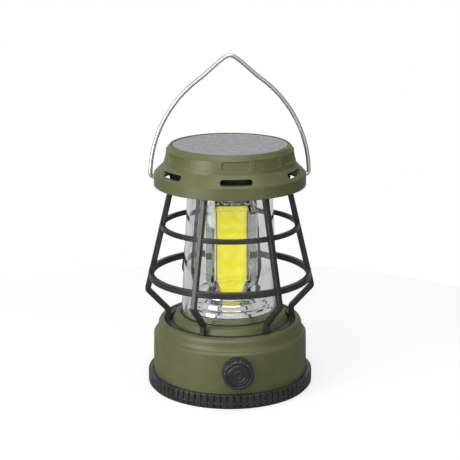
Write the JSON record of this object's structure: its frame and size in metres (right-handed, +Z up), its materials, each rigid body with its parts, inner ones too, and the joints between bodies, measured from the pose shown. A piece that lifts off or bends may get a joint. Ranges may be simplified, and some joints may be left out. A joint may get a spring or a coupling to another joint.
{
  "type": "camping lantern",
  "caption": "Round camping lantern with a caged clear chimney, faceted lamp block, vented solar cap, wire bail and dimmer knob on its base.",
  "frame": {"origin": "centre of the flat underside of the bottom cover, on the lamp's axis", "axes": "+Z up along the lamp's axis; -Y towards the knob at the front; the bail's pivots lie along X"},
  "size_m": [0.1272, 0.1299, 0.2475],
  "materials": {
    "olive_plastic": "satin moulded plastic with a fine spark-eroded grain",
    "black_plastic": "satin moulded plastic",
    "grey_plastic": "matt moulded plastic",
    "black_rubber": "matt rubber",
    "chromed_plastic": "vacuum-metallised plastic",
    "bright_wire": "bright nickel-plated wire",
    "screw_steel": "zinc-plated steel",
    "aluminium": "bare aluminium",
    "clear_plastic": "clear polished plastic",
    "light_panel": "yellow phosphor silicone",
    "circuit_board": "solder mask",
    "battery_wrap": "shrink-wrapped film",
    "solar_cell": "laminated silicon cell"
  },
  "bodies": {
    "root": {"base_shell": "olive_plastic", "cap_shell": "olive_plastic", "bottom_cover": "black_plastic", "cage": "black_plastic", "cap_base": "black_plastic", "battery_tray": "grey_plastic", "port_cover_anchor": "black_rubber", "chimney_seal_lower": "black_rubber", "chimney_seal_upper": "black_rubber", "lower_reflector": "chromed_plastic", "upper_reflector": "chromed_plastic", "cover_screw_1": "screw_steel", "cover_screw_2": "screw_steel", "cover_screw_3": "screw_steel", "cover_screw_4": "screw_steel", "cage_screw_1": "screw_steel", "cage_screw_2": "screw_steel", "cage_screw_3": "screw_steel", "cap_screw_1": "screw_steel", "cap_screw_2": "screw_steel", "cap_screw_3": "screw_steel", "dimmer_nut": "screw_steel", "charge_port": "screw_steel", "dimmer": "aluminium", "led_core": "aluminium", "chimney": "clear_plastic", "light_lens": "clear_plastic", "solar_cover": "clear_plastic", "charge_indicator": "clear_plastic", "led_panel_front": "light_panel", "led_panel_rear": "light_panel", "control_board": "circuit_board", "battery_cell_1": "battery_wrap", "battery_cell_2": "battery_wrap", "solar_cell": "solar_cell"},
    "bail": {"bail": "bright_wire"},
    "knob": {"control_knob": "black_plastic", "knob_face": "black_plastic", "dimmer_shaft": "aluminium"},
    "port_cover": {"port_cover": "black_rubber"}
  },
  "joints": [
    {"name": "bail_swing", "type": "hinge", "parent": "root", "child": "bail", "pos_m": [0, 0, 0.1585], "axis": [1, 0, 0], "range_deg": [-130, 130]},
    {"name": "knob_turn", "type": "hinge", "parent": "root", "child": "knob", "pos_m": [0, -0.0632, 0.0284], "axis": [0, 1, 0], "range_deg": [0, 280]},
    {"name": "port_cover_swing", "type": "hinge", "parent": "root", "child": "port_cover", "pos_m": [0, 0.0597, 0.02515], "axis": [-1, 0, 0], "range_deg": [0, 110]}
  ]
}
